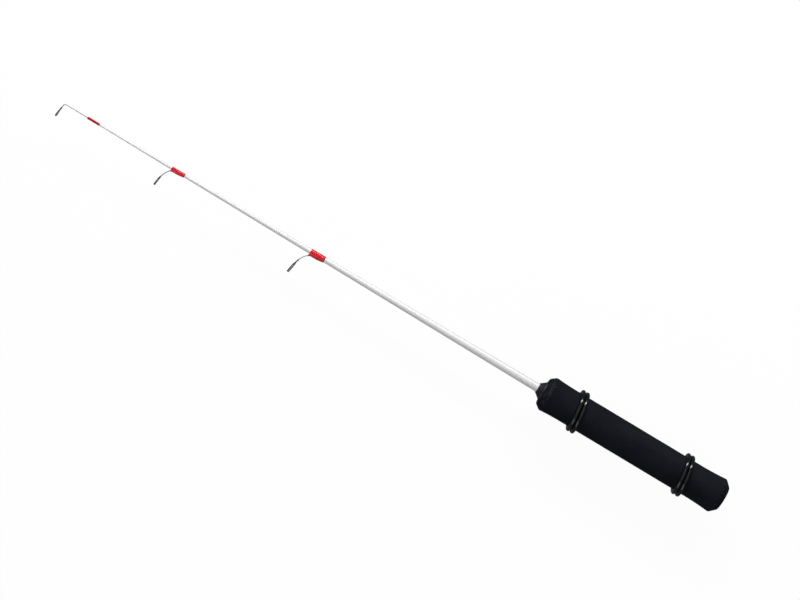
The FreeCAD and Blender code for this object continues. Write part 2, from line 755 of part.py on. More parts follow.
def make_guide(number, kind, blank):
    frame = make_guide_frame(f"guide_{number}_frame", kind)
    insert = make_ring_insert(f"guide_{number}_ring", kind)
    sleeve = make_guide_sleeve(f"guide_{number}_sleeve", kind, blank, frame)
    return [frame, insert, sleeve]


def make_rod():
    blank = make_blank()
    nodes = [blank, make_grip(), make_grip_bond(), make_butt_plug()]
    nodes += [make_winding_check(), *make_bands()]
    nodes += make_guide(1, "one", blank)
    nodes += make_guide(2, "two", blank)
    nodes += [make_tip_frame(), make_ring_insert("tip_ring", "tip")]
    nodes += [make_tip_collar(), make_tip_tube(), make_tip_sleeve()]
    return nodes


def check(nodes):
    """Stops if any object of the document failed or any node isn't a sound solid."""
    for item in doc.Objects:
        if {"Invalid", "Error"} & set(item.State):
            raise RuntimeError(f"{item.Name} failed: {item.State}")
    for node in nodes:
        shape = node.Shape
        if shape.isNull() or not shape.isValid() or len(shape.Solids) != 1:
            raise RuntimeError(f"{node.Label} isn't one sound solid")
        print(f"{node.Label}: {shape.Volume:.2f} mm3, {shape.BoundBox}")


fill_sheet()
rod = make_rod()
doc.recompute()
check(rod)
os.makedirs(PARTS_FOLDER, exist_ok=True)
for piece in rod:
    piece.Shape.exportStep(f"{PARTS_FOLDER}/{piece.Label}.step")
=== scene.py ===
# Looks of the ice fishing rod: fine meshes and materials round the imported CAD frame.
#
# Lengths are in metres, in the row frame: the origin is the centre of the butt face,
# +X runs to the tip, the guides point to +Y, and +Z is up. The sizes that the CAD
# model also has are repeated here in millimetres and scaled by MM.
import json
import math

import bmesh
import bpy
import numpy as np
from mathutils import Matrix, Vector, noise


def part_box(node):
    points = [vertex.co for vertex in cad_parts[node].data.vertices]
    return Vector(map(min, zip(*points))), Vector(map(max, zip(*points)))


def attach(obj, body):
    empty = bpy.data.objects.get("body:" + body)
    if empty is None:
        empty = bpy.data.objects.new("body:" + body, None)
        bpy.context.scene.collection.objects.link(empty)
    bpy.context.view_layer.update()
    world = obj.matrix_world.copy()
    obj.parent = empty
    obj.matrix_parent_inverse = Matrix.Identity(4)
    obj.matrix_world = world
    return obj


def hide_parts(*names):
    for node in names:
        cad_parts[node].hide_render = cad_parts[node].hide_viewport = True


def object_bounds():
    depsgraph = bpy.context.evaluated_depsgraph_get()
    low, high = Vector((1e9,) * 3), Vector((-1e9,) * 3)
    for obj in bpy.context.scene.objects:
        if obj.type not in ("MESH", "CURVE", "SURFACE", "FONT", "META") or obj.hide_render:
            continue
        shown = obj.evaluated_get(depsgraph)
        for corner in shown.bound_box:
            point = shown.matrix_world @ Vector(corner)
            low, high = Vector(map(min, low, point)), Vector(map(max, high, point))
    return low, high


MM = 0.001
FULL_TURN = 2 * math.pi
QUARTER_TURN = math.pi / 2

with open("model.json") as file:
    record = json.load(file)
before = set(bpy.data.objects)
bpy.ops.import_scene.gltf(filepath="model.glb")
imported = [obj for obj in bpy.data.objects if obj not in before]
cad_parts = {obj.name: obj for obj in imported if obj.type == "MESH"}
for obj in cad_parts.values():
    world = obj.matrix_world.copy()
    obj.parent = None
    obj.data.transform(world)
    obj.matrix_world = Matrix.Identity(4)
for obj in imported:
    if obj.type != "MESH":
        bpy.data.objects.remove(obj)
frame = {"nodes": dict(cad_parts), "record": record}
cad_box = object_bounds()
mounts = {mount["name"]: mount for mount in frame["record"]["mounts"]}


# ---------------------------------------------------------------- mesh helpers

# Of a turned piece: the longest run along its outline in mm, and its sides.
GRIP_FINENESS = (0.8, 128)
BLANK_FINENESS = (6.0, 48)
CONE_FINENESS = (0.35, 96)
PLUG_FINENESS = (0.4, 80)
INSERT_FINENESS = (0.3, 112)
COLLAR_FINENESS = (0.12, 40)
TIP_SLEEVE_FINENESS = (0.3, 40)
MERGE_DISTANCE = 1e-7
CORNER_STEPS = 6  # runs in a rounded corner
BAND_SIDES, BAND_TURNS = 48, 176
WIRE_SIDES = 20
LOOP_TURNS = 96
BLOB_RINGS = 14
BLOB_POINT = 0.02  # of a drop's radius, left at its two ends


def new_object(name, verts, faces):
    """An object from points and faces, its normals outward and its shading smooth."""
    mesh = bpy.data.meshes.new(name)
    mesh.from_pydata([tuple(v) for v in verts], [], faces)
    shape = bmesh.new()
    shape.from_mesh(mesh)
    bmesh.ops.remove_doubles(shape, verts=shape.verts, dist=MERGE_DISTANCE)
    bmesh.ops.recalc_face_normals(shape, faces=shape.faces)
    shape.to_mesh(mesh)
    shape.free()
    mesh.polygons.foreach_set("use_smooth", [True] * len(mesh.polygons))
    obj = bpy.data.objects.new(name, mesh)
    bpy.context.scene.collection.objects.link(obj)
    return obj


def grid_faces(rows, columns, rows_close=False):
    """Quads over rows of points. The columns always close into a loop."""
    faces = []
    for row in range(rows if rows_close else rows - 1):
        here, there = row * columns, (row + 1) % rows * columns
        for column in range(columns):
            beside = (column + 1) % columns
            faces.append((here + column, here + beside, there + beside, there + column))
    return faces


def softened(corners):
    """Rounds the corners of an outline of (along, radius, rounding) in mm."""
    points = []
    for number, (x, y, size) in enumerate(corners):
        here = Vector((x, y))
        if size == 0:
            points.append(here)
            continue
        before = Vector(corners[number - 1][:2])
        after = Vector(corners[(number + 1) % len(corners)][:2])
        first = here + (before - here).normalized() * size
        last = here + (after - here).normalized() * size
        for step in range(CORNER_STEPS + 1):
            t = step / CORNER_STEPS
            points.append(first * (1 - t) ** 2 + here * 2 * t * (1 - t) + last * t**2)
    return points


def spaced(points, longest, closed=False):
    """Adds points on every run that is longer than the given length."""
    out = []
    ends = points[1:] + points[:1] if closed else points[1:]
    for start, end in zip(points, ends):
        parts = max(1, math.ceil((end - start).length / longest))
        out += [start.lerp(end, part / parts) for part in range(parts)]
    return out if closed else out + [points[-1]]


def turned(name, outline, sides, closed=True, push=None):
    """Turns an outline of (along, radius) in mm about X. push moves each point."""
    verts = []
    for along, radius in outline:
        for side in range(sides):
            angle = FULL_TURN * side / sides
            point = Vector((along, radius * math.cos(angle), radius * math.sin(angle)))
            verts.append((push(point) if push else point) * MM)
    return new_object(name, verts, grid_faces(len(outline), sides, closed))


def lathed(name, corners, fineness, closed=True, push=None):
    """Turns a rounded outline of (along, radius, rounding) corners about X."""
    longest, sides = fineness
    return turned(name, spaced(softened(corners), longest, closed), sides, closed, push)


def along_axis(obj, place, axis):
    """Moves a turned mesh so that its X axis lies on an axis in the XY plane."""
    angle = math.atan2(axis[1], axis[0])
    obj.data.transform(Matrix.Translation(place) @ Matrix.Rotation(angle, 4, "Z"))
    return obj


def bar(points, radii):
    """Points and faces of a round bar along a path in the XY plane, in mm."""
    verts = []
    last = len(points) - 1
    for number, (here, radius) in enumerate(zip(points, radii)):
        run = points[min(number + 1, last)] - points[max(number - 1, 0)]
        across = Vector((-run.y, run.x, 0)).normalized()
        for side in range(WIRE_SIDES):
            angle = FULL_TURN * side / WIRE_SIDES
            out = across * math.cos(angle) + Vector((0, 0, 1)) * math.sin(angle)
            verts.append((here + out * radius) * MM)
    faces = grid_faces(len(points), WIRE_SIDES)
    faces.append(tuple(range(WIRE_SIDES)))
    faces.append(tuple(last * WIRE_SIDES + side for side in range(WIRE_SIDES)))
    return verts, faces


def loop(centre, axis, radius, wire):
    """Points and faces of a wire ring about an axis in the XY plane, in mm."""
    verts = []
    axis = Vector(axis).normalized()
    up = Vector((-axis.y, axis.x, 0))
    for turn in range(LOOP_TURNS):
        angle = FULL_TURN * turn / LOOP_TURNS
        out = up * math.cos(angle) + Vector((0, 0, 1)) * math.sin(angle)
        for side in range(WIRE_SIDES):
            around = FULL_TURN * side / WIRE_SIDES
            off = out * math.cos(around) + axis * math.sin(around)
            verts.append((centre + out * radius + off * wire / 2) * MM)
    return verts, grid_faces(LOOP_TURNS, WIRE_SIDES, True)


def blob(centre, run, length, radius):
    """Points and faces of a drop of solder, stretched along a direction, in mm."""
    places, radii = [], []
    for ring in range(BLOB_RINGS + 1):
        angle = math.pi * ring / BLOB_RINGS
        places.append(centre - run * length * math.cos(angle))
        radii.append(radius * max(math.sin(angle), BLOB_POINT))
    return bar(places, radii)


def fused(name, shapes, grain):
    """Melts overlapping shapes into one skin, so that solder runs into the wire."""
    verts, faces = [], []
    for shape_verts, shape_faces in shapes:
        faces += [tuple(len(verts) + v for v in face) for face in shape_faces]
        verts += shape_verts
    raw = new_object(name + "_raw", verts, faces)
    remesh = raw.modifiers.new("skin", "REMESH")
    remesh.mode = "VOXEL"
    remesh.voxel_size = grain * MM
    smooth = raw.modifiers.new("flow", "SMOOTH")
    smooth.factor = 0.5
    smooth.iterations = MELT_STEPS
    graph = bpy.context.evaluated_depsgraph_get()
    mesh = bpy.data.meshes.new_from_object(raw.evaluated_get(graph))
    mesh.name = name
    mesh.polygons.foreach_set("use_smooth", [True] * len(mesh.polygons))
    bpy.data.objects.remove(raw)
    obj = bpy.data.objects.new(name, mesh)
    bpy.context.scene.collection.objects.link(obj)
    return obj


def finish_piece(obj, material, body, node):
    """Gives a piece its material, ties it to its CAD body and hides its CAD node."""
    obj.data.materials.clear()
    obj.data.materials.append(material)
    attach(obj, body)
    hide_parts(node)


# ------------------------------------------------------------ material helpers


class Finish:
    """A Principled material that is put together node by node.

    Its textures follow the object's own coordinates, in millimetres. A colour or number
    that is the same all over the surface is set on the shader's own socket.
    """

    def __init__(self, name, **constants):
        self.material = bpy.data.materials.new(name)
        self.material.use_nodes = True
        self.tree = self.material.node_tree
        self.shader = self.tree.nodes["Principled BSDF"]
        for socket, value in constants.items():
            self.shader.inputs[socket.replace("_", " ")].default_value = value
        self.here = self.node("ShaderNodeTexCoord").outputs["Object"]
        self.here = self.scaled(1 / MM)

    def node(self, kind, inputs=(), **settings):
        made = self.tree.nodes.new(kind)
        for key, value in settings.items():
            setattr(made, key, value)
        for socket, value in dict(inputs).items():
            if isinstance(value, bpy.types.NodeSocket):
                self.tree.links.new(value, made.inputs[socket])
            else:
                made.inputs[socket].default_value = value
        return made

    def scaled(self, factor):
        """The coordinates times a number, or times one number for each axis."""
        factor = (factor,) * 3 if isinstance(factor, (int, float)) else factor
        made = self.node(
            "ShaderNodeVectorMath", {0: self.here, 1: factor}, operation="MULTIPLY"
        )
        return made.outputs[0]

    def grain(self, size, detail=3.0, stretch=(1, 1, 1)):
        """Noise from 0 to 1 whose blotches are about size mm, longer by stretch."""
        scale = tuple(1 / (size * s) for s in stretch)
        inputs = {"Vector": self.scaled(scale), "Scale": 1.0, "Detail": detail}
        return self.node("ShaderNodeTexNoise", inputs).outputs["Fac"]

    def cells(self, size, stretch=(1, 1, 1)):
        """Distance to the nearest of points scattered about size mm apart."""
        scale = tuple(1 / (size * s) for s in stretch)
        inputs = {"Vector": self.scaled(scale), "Scale": 1.0}
        return self.node("ShaderNodeTexVoronoi", inputs).outputs["Distance"]

    def math(self, operation, a, b=0.0):
        return self.node("ShaderNodeMath", {0: a, 1: b}, operation=operation).outputs[0]

    def apart(self, a, b):
        """How far apart two values are."""
        return self.math("ABSOLUTE", self.math("SUBTRACT", a, b))

    def hypotenuse(self, a, b):
        """The length whose two square parts are a and b, neither below 0."""
        squares = [self.math("POWER", side, 2.0) for side in (a, b)]
        return self.math("SQRT", self.math("ADD", *squares))

    def span(self, value, low, high, to_low=0.0, to_high=1.0):
        """Maps low..high to to_low..to_high, clamped and eased."""
        inputs = {
            "Value": value, "From Min": low, "From Max": high,
            "To Min": to_low, "To Max": to_high,
        }
        made = self.node(
            "ShaderNodeMapRange", inputs, interpolation_type="SMOOTHSTEP", clamp=True
        )
        return made.outputs[0]

    def axis(self, letter):
        made = self.node("ShaderNodeSeparateXYZ", {0: self.here})
        return made.outputs[letter]

    def from_rod_axis(self):
        """Distance from the rod's own axis, in millimetres."""
        sides = [self.math("ABSOLUTE", self.axis(letter)) for letter in "YZ"]
        return self.hypotenuse(*sides)

    def near(self, place, reach):
        """1 at a place in mm, and 0 from reach mm away on."""
        away = self.node(
            "ShaderNodeVectorMath", {0: self.here, 1: tuple(place)}, operation="DISTANCE"
        )
        return self.span(away.outputs["Value"], 0.0, reach, 1.0, 0.0)

    def mix(self, share, a, b):
        """Colour a turning into colour b as share goes from 0 to 1."""
        made = self.node("ShaderNodeMix", data_type="RGBA")
        for index, value in ((0, share), (6, a), (7, b)):
            if isinstance(value, bpy.types.NodeSocket):
                self.tree.links.new(value, made.inputs[index])
            else:
                made.inputs[index].default_value = value
        return made.outputs[2]

    def most(self, *values):
        """The largest of some values."""
        result = values[0]
        for value in values[1:]:
            result = self.math("MAXIMUM", result, value)
        return result

    def relief(self, *heights):
        """Bumps the surface by (height, depth in mm) pairs, one on top of another."""
        normal = None
        for height, depth in heights:
            inputs = {"Height": height, "Distance": depth * MM, "Strength": 1.0}
            if normal is not None:
                inputs["Normal"] = normal
            normal = self.node("ShaderNodeBump", inputs).outputs[0]
        self.set("Normal", normal)

    def set(self, socket, value):
        self.tree.links.new(value, self.shader.inputs[socket])


def rgb(red, green, blue):
    return (red, green, blue, 1.0)


def grey(value):
    return rgb(value, value, value)


# ------------------------------------------------------------------- materials


def foam_material():
    """Ground EVA foam: cut pores painted darker as shade, turning marks, and edges made paler,
    partly dusty and partly a painted highlight.
    """
    f = Finish("eva_foam")
    f.shader.inputs["Specular IOR Level"].default_value = 0.07
    cloud = f.grain(14.0, 3.0, stretch=(2.2, 1, 1))
    fleck = f.grain(0.9, 4.0)
    pores = f.cells(0.75)
    pit = f.span(pores, 0.08, 0.3, 1.0, 0.0)
    tone = f.mix(f.span(cloud, 0.3, 0.7), FOAM_DEEP, FOAM_PALE)
    tone = f.mix(f.span(fleck, 0.56, 0.74, 0.0, 0.55), tone, FOAM_FLECK)
    # Painted shade: the pores are darker than the foam round them.
    tone = f.mix(f.math("MULTIPLY", pit, 0.6), tone, rgb(0.0012, 0.0012, 0.0018))
    radius = f.from_rod_axis()
    x = f.axis("X")
    # Painted highlight: the front and butt edges turn paler, partly dusty and partly standing
    # for light caught on the chamfers.
    rub_and_highlight = f.grain(2.6, 3.0)
    front = f.span(x, GRIP["front_edge"] - 2.5, GRIP["front_edge"] + 1.0)
    butt = f.span(x, GRIP["butt_edge"] - 1.5, GRIP["butt_edge"] + 2.5, 1.0, 0.0)
    edge = f.math("MULTIPLY", f.most(front, butt), f.span(radius, 9.5, 14.2))
    dust_and_highlight = f.math("MULTIPLY", edge, f.span(rub_and_highlight, 0.42, 0.66))
    tone = f.mix(f.math("MULTIPLY", dust_and_highlight, 0.8), tone, FOAM_DUST_AND_HIGHLIGHT)
    f.set("Base Color", tone)
    f.set("Roughness", f.span(fleck, 0.2, 0.8, 0.62, 0.78))
    turning = f.grain(0.5, 2.0, stretch=(1, 14, 14))
    f.relief((turning, 0.05), (fleck, 0.09), (f.math("SUBTRACT", 1.0, pit), 0.12))
    return f.material


def paint_material():
    """White gloss paint over ground glass fibre, a little uneven along the blank."""
    f = Finish("white_paint", Coat_Weight=0.4, Coat_Roughness=0.14, IOR=1.5)
    drift = f.grain(30.0, 2.0, stretch=(3, 1, 1))
    fibre = f.grain(0.22, 3.0, stretch=(40, 1, 1))
    speck = f.cells(3.2, stretch=(1.6, 1, 1))
    tone = f.mix(f.span(drift, 0.35, 0.65), rgb(0.92, 0.92, 0.91), rgb(0.95, 0.95, 0.94))
    tone = f.mix(f.span(fibre, 0.55, 0.75, 0.0, 0.16), tone, rgb(0.72, 0.72, 0.69))
    tone = f.mix(f.span(speck, 0.02, 0.07, 0.2, 0.0), tone, rgb(0.42, 0.41, 0.38))
    # Painted shade: the blank turns a little darker and beige just in front of the cone.
    shade_by_cone = f.span(f.axis("X"), 173.0, 196.0, 0.12, 0.0)
    tone = f.mix(shade_by_cone, tone, rgb(0.6, 0.58, 0.53))
    f.set("Base Color", tone)
    f.set("Roughness", f.span(drift, 0.3, 0.7, 0.2, 0.32))
    peel = f.grain(1.1, 1.0)
    f.relief((fibre, 0.0015), (peel, 0.004))
    return f.material


def glue_material():
    """Amber epoxy with trapped bubbles."""
    f = Finish("epoxy_glue", Transmission_Weight=0.35, IOR=1.5)
    bubbles = f.cells(0.8)
    cloud = f.grain(3.0)
    tone = f.mix(f.span(cloud, 0.3, 0.7), rgb(0.5, 0.36, 0.14), rgb(0.66, 0.53, 0.28))
    f.set("Base Color", tone)
    f.set("Roughness", f.span(bubbles, 0.05, 0.4, 0.35, 0.15))
    f.relief((bubbles, 0.05))
    return f.material


def moulded_material(name, edges):
    """Black moulded plastic. edges holds (x, radius, reach) of each rim made pale, in mm; on
    the cone's edges that pale is a painted highlight.
    """
    f = Finish(name, IOR=1.49)
    f.shader.inputs["Specular IOR Level"].default_value = 0.45
    cloud = f.grain(4.0, 2.0)
    skin = f.grain(0.22, 2.0)
    scratch = f.grain(0.35, 3.0, stretch=(1, 8, 1))
    tone = f.mix(f.span(cloud, 0.3, 0.7), rgb(0.010, 0.011, 0.015), rgb(0.016, 0.017, 0.022))
    radius = f.from_rod_axis()
    pale_rims = []
    for x, rim, reach in edges:
        away = f.hypotenuse(f.apart(f.axis("X"), x), f.apart(radius, rim))
        pale_rims.append(f.span(away, reach * 0.2, reach, 1.0, 0.0))
    # Painted highlight: the pale rims stand for light caught on the cone's edges, broken up by
    # scratches.
    rub_and_highlight = f.math("MULTIPLY", f.most(*pale_rims), f.span(scratch, 0.4, 0.62))
    tone = f.mix(f.math("MULTIPLY", rub_and_highlight, 0.7), tone, rgb(0.075, 0.078, 0.088))
    f.set("Base Color", tone)
    f.set("Roughness", f.span(skin, 0.3, 0.7, 0.34, 0.46))
    f.relief((skin, 0.02), (scratch, 0.01))
    return f.material


def rubber_material():
    """Nitrile rubber: glossy moulded skin, bloom in patches, tiny scuffs."""
    f = Finish("band_rubber", IOR=1.58)
    bloom = f.grain(5.0, 4.0)
    scuff = f.grain(0.5, 3.0, stretch=(1, 3, 3))
    tone = f.mix(f.span(bloom, 0.45, 0.75), rgb(0.002, 0.0024, 0.004), rgb(0.006, 0.007, 0.011))
    f.set("Base Color", tone)
    gloss = f.math(
        "ADD", f.span(bloom, 0.35, 0.7, 0.12, 0.19), f.span(scuff, 0.6, 0.75, 0.0, 0.12)
    )
    f.set("Roughness", gloss)
    f.relief((scuff, 0.012))
    return f.material


def wire_material(name, solder_spots, dull, bright):
    """Drawn stainless wire, stained where it was soldered.

    solder_spots holds (place, reach, colour) of each stain, in mm. dull and bright are
    the greys between which the wire's own colour wanders.
    """
    f = Finish(name, Metallic=0.8)
    lines = f.grain(0.09, 3.0, stretch=(12, 1, 1))
    stain = f.grain(1.6, 3.0)
    tone = f.mix(f.span(stain, 0.3, 0.7), grey(dull), grey(bright))
    rough = f.span(lines, 0.3, 0.7, 0.36, 0.5)
    for place, reach, colour in solder_spots:
        heat = f.near(place, reach * 1.6)
        tone = f.mix(f.math("MULTIPLY", heat, 0.85), tone, rgb(0.17, 0.145, 0.12))
        core = f.span(f.near(place, reach), 0.05, 0.35)
        tone = f.mix(core, tone, colour)
        rough = f.math("MAXIMUM", rough, f.math("MULTIPLY", core, 0.45))
    f.set("Base Color", tone)
    f.set("Roughness", rough)
    f.relief((lines, 0.002), (stain, 0.006))
    return f.material


def ceramic_material():
    """Dark polished ceramic with faint grinding rings."""
    f = Finish("ring_ceramic", IOR=1.6)
    cloud = f.grain(1.5, 2.0)
    grind = f.grain(0.12, 2.0, stretch=(1, 6, 6))
    tone = f.mix(f.span(cloud, 0.3, 0.7), rgb(0.08, 0.08, 0.087), rgb(0.12, 0.121, 0.13))
    f.set("Base Color", tone)
    f.set("Roughness", f.span(grind, 0.3, 0.7, 0.28, 0.4))
    f.relief((grind, 0.004))
    return f.material


def shrink_material(name, spans, red, deep_red, gloss):
    """Red shrink tube with extrusion lines, and painted shade darkening its cut ends.

    spans holds each sleeve's (start, end) in mm, red and deep_red the base colours.
    """
    f = Finish(name, IOR=1.48)
    f.shader.inputs["Specular IOR Level"].default_value = gloss
    f.shader.inputs["Subsurface Weight"].default_value = 0.12
    f.shader.inputs["Subsurface Radius"].default_value = (0.0006, 0.0001, 0.0001)
    cloud = f.grain(3.0, 2.0, stretch=(2, 1, 1))
    lines = f.grain(0.3, 2.0, stretch=(18, 1, 1))
    tone = f.mix(f.span(cloud, 0.3, 0.7), deep_red, red)
    tone = f.mix(f.span(lines, 0.58, 0.75, 0.0, 0.3), tone, rgb(0.55, 0.0, 0.012))
    x = f.axis("X")
    # Painted shade: each cut end turns a deeper red, standing for shade and dark reflection
    # where the tube curls in.
    for ends in spans:
        rims = [f.span(f.apart(x, end), 0.1, 0.9, 1.0, 0.0) for end in ends]
        tone = f.mix(f.math("MULTIPLY", f.most(*rims), 0.6), tone, rgb(0.3, 0.0, 0.01))
    f.set("Base Color", tone)
    f.set("Roughness", f.span(cloud, 0.3, 0.7, 0.13, 0.2))
    f.relief((lines, 0.003), (f.grain(1.2, 2.0), 0.008))
    return f.material


def dark_metal_material(name, dark, pale):
    """Oxidised steel, brighter where the oxide has rubbed off."""
    f = Finish(name, Metallic=0.85)
    oxide = f.grain(0.5, 4.0)
    f.set("Base Color", f.mix(f.span(oxide, 0.4, 0.7), dark, pale))
    f.set("Roughness", f.span(oxide, 0.3, 0.7, 0.3, 0.48))
    f.relief((oxide, 0.012))
    return f.material


# ----------------------------------------------------------------------- sizes

# Sizes that the CAD model has too, in millimetres and degrees.
GRIP = {
    "length": 168.0,
    "bore": 3.9,
    "plug_radius": 6.0,
    "plug_thick": 1.2,
    "butt_face": 10.2,
    "butt_edge": 5.3,
    "butt_radius": 15.1,
    "waist": 14.0,
    "waist_start": 29.0,
    "waist_end": 144.5,
    "front_edge": 163.5,
    "front_radius": 14.8,
    "front_face": 11.5,
}
BLANK = {"start": 10.0, "taper_start": 173.3, "end": 585.0, "butt": 3.55, "tip": 0.71}
CHECK = {
    "start": 168.0, "length": 5.3, "base": 8.0, "front": 4.45,
    "lip": 0.7, "step_place": 1.0, "step": 0.42, "waist_place": 2.9, "waist": 5.95,
}
PLUG_LENGTH = 8.0
SLEEVE_WALL = 0.35
FOOT_LIFT = 0.02  # of a guide's foot above the paint
# Of each guide: mount, ring and wire sizes; the leg's lean; the foot's start and ramp; the
# radii of its two bends; the straight part of the leg; the solder beads' places up the leg
# from the ring; the greys of its wire; the sleeve's start and end.
GUIDES = {
    1: {
        "mount": "line_hole_1", "outer": 4.55, "width": 1.8, "wire": 0.9,
        "leg_lean": 14.5, "foot": 373.0, "ramp": 4.5, "near": 3.2, "far": 16.0,
        "straight": 3.0, "beads": (1.07, 3.6), "greys": (0.66, 0.78),
        "sleeve": (371.3, 384.4),
    },
    2: {
        "mount": "line_hole_2", "outer": 3.6, "width": 1.6, "wire": 0.8,
        "leg_lean": 12.0, "foot": 502.0, "ramp": 4.0, "near": 2.5, "far": 18.0,
        "straight": 1.0, "beads": (1.04,), "greys": (0.42, 0.54),
        "sleeve": (500.4, 512.4),
    },
}
TIP = {
    "mount": "tip_line_hole", "outer": 2.65, "width": 1.6, "wire": 0.7,
    "leg_lean": 8.0, "start": 585.2, "bend": 1.8, "greys": (0.3, 0.42),
    "collar": (1.55, 3.5), "collar_radius": 0.65,
    "tube": (579.6, 589.4), "tube_radius": 0.88,
    "sleeve": (578.8, 590.1), "sleeve_wall": 0.12,
}
SOLDER_RADIUS = 0.8
TIP_SOLDER_RADIUS = 0.65

# Sizes that only the looks have.
BAND_SINK = 0.05  # a band lies on the foam, without the running gap of the CAD model
BAND_SLANT = 7.5  # degrees that a band lies askew
BAND_SKIN = 0.02  # depth of a band's skin below its mould lines
BAND_WAVES = ((0.05, 2, 1), (0.025, 5, 2))  # height, count round the band, turn
TAPER_STEP = 6.0  # between the blank's rings of points, along its taper
WIRE_GRAIN, TIP_GRAIN = 0.07, 0.055  # how finely wire and solder are melted together
MELT_STEPS = 6
STAIN_REACH = 1.8  # of a solder bead's radius
BURN_SHARE = 1.4  # of a ring's radius, stained where its leg was soldered on
BURN_DEPTH = 0.45  # from the ring's top to its centre, where that stain has its middle
SLEEVE_SNUG = 0.012  # from what a sleeve holds to its inside
SLEEVE_LIP = 0.12
SLEEVE_LEAD = 1.6  # over which a sleeve opens before the foot's point
TIP_SLEEVE_SNUG = 0.008
TIP_SLEEVE_SWELL = 0.02  # of its radius, more or less

# -------------------------------------------------------------- colours, glosses

BURNT_SOLDER = rgb(0.022, 0.022, 0.024)
GREY_SOLDER = rgb(0.24, 0.24, 0.25)
RED, DEEP_RED = rgb(0.93, 0.002, 0.026), rgb(0.82, 0.001, 0.016)
TIP_RED, TIP_DEEP_RED = rgb(0.7, 0.001, 0.02), rgb(0.6, 0.001, 0.014)
SHRINK_GLOSS, TIP_SHRINK_GLOSS = 0.45, 0.1
FOAM_DEEP = rgb(0.0058, 0.0068, 0.0100)
FOAM_PALE = rgb(0.0098, 0.0112, 0.0165)
FOAM_FLECK = rgb(0.0165, 0.0180, 0.0240)
FOAM_DUST_AND_HIGHLIGHT = rgb(0.026, 0.028, 0.034)


def blank_radius(x):
    """The blank's radius at a place along the rod."""
    share = (x - BLANK["taper_start"]) / (BLANK["end"] - BLANK["taper_start"])
    return BLANK["butt"] - (BLANK["butt"] - BLANK["tip"]) * min(max(share, 0.0), 1.0)


# ---------------------------------------------------------------------- pieces

UNTOUCHED_RIM = 1.0  # of foam round the plug, which stays round
BROAD_DIP, FINE_DIP = 0.05, 0.03
# small marks in the foam: place, depth and reach, in mm
GRIP_DENTS = [
    ((96.0, 5.0, 13.1), 0.22, 2.4),
    ((71.0, -8.0, 11.5), 0.16, 1.6),
    ((118.0, -3.0, 13.7), 0.18, 1.3),
    ((150.0, 9.0, 10.9), 0.2, 1.8),
    ((20.0, -10.0, 10.4), 0.25, 1.7),
    ((12.0, 6.0, 13.4), 0.18, 1.2),
    ((58.0, 11.0, -8.7), 0.22, 2.2),
    ((130.0, -12.0, -7.3), 0.2, 1.9),
    ((84.0, 2.0, -13.8), 0.24, 2.6),
    ((160.0, -6.0, -13.2), 0.2, 1.5),
]


def grip_push(point):
    """Turned foam is never quite round: shallow dips, always inward."""
    radius = math.hypot(point.y, point.z)
    if radius < GRIP["plug_radius"] + UNTOUCHED_RIM:
        return point
    broad = 0.5 + 0.5 * noise.noise(point * 0.11)
    fine = 0.5 + 0.5 * noise.noise(point * 0.6 + Vector((7, 3, 1)))
    dent = 0.0
    for place, depth, reach in GRIP_DENTS:
        away = (point - Vector(place)).length / reach
        dent += depth * math.exp(-away * away)
    inward = BROAD_DIP * broad + FINE_DIP * fine + dent
    share = (radius - inward) / radius
    return Vector((point.x, point.y * share, point.z * share))


def grip_radius(x):
    """The grip's flares run smoothly into its straight waist."""
    if x < GRIP["waist_start"]:
        share = (GRIP["waist_start"] - x) / (GRIP["waist_start"] - GRIP["butt_edge"])
        return GRIP["waist"] + (GRIP["butt_radius"] - GRIP["waist"]) * share**2
    if x > GRIP["waist_end"]:
        share = (x - GRIP["waist_end"]) / (GRIP["front_edge"] - GRIP["waist_end"])
        return GRIP["waist"] + (GRIP["front_radius"] - GRIP["waist"]) * share**2
    return GRIP["waist"]


def make_grip():
    """The foam grip, with its bore and the seat of its plug."""
    flare_steps = 10
    corners = [
        (GRIP["plug_thick"], GRIP["plug_radius"], 0),
        (0.0, GRIP["plug_radius"], 0.15),
        (0.0, GRIP["butt_face"], 0.8),
        (GRIP["butt_edge"], GRIP["butt_radius"], 1.1),
    ]
    flares = (
        (GRIP["butt_edge"], GRIP["waist_start"]), (GRIP["waist_end"], GRIP["front_edge"])
    )
    for start, end in flares:
        for step in range(1, flare_steps):
            x = start + (end - start) * step / flare_steps
            corners.append((x, grip_radius(x), 0))
    corners += [
        (GRIP["front_edge"], GRIP["front_radius"], 1.0),
        (GRIP["length"], GRIP["front_face"], 0.7),
        (GRIP["length"], GRIP["bore"], 0),
        (GRIP["plug_thick"], GRIP["bore"], 0),
    ]
    grip = lathed("grip_foam", corners, GRIP_FINENESS, push=grip_push)
    finish_piece(grip, foam_material(), "rod", "grip")


def make_blank():
    """The painted blank: straight in the grip and the cone, then a long taper."""
    edge = 0.15
    rings = int((BLANK["end"] - BLANK["taper_start"]) / TAPER_STEP)
    places = [BLANK["taper_start"] + TAPER_STEP * ring for ring in range(1, rings)]
    corners = [
        (BLANK["start"], 0.0, 0),
        (BLANK["start"], BLANK["butt"], edge),
        (BLANK["taper_start"], BLANK["butt"], 0),
        *[(x, blank_radius(x), 0) for x in places],
        (BLANK["end"], BLANK["tip"], edge),
        (BLANK["end"], 0.0, 0),
    ]
    blank = lathed("rod_blank", corners, BLANK_FINENESS, closed=False)
    finish_piece(blank, paint_material(), "rod", "blank")


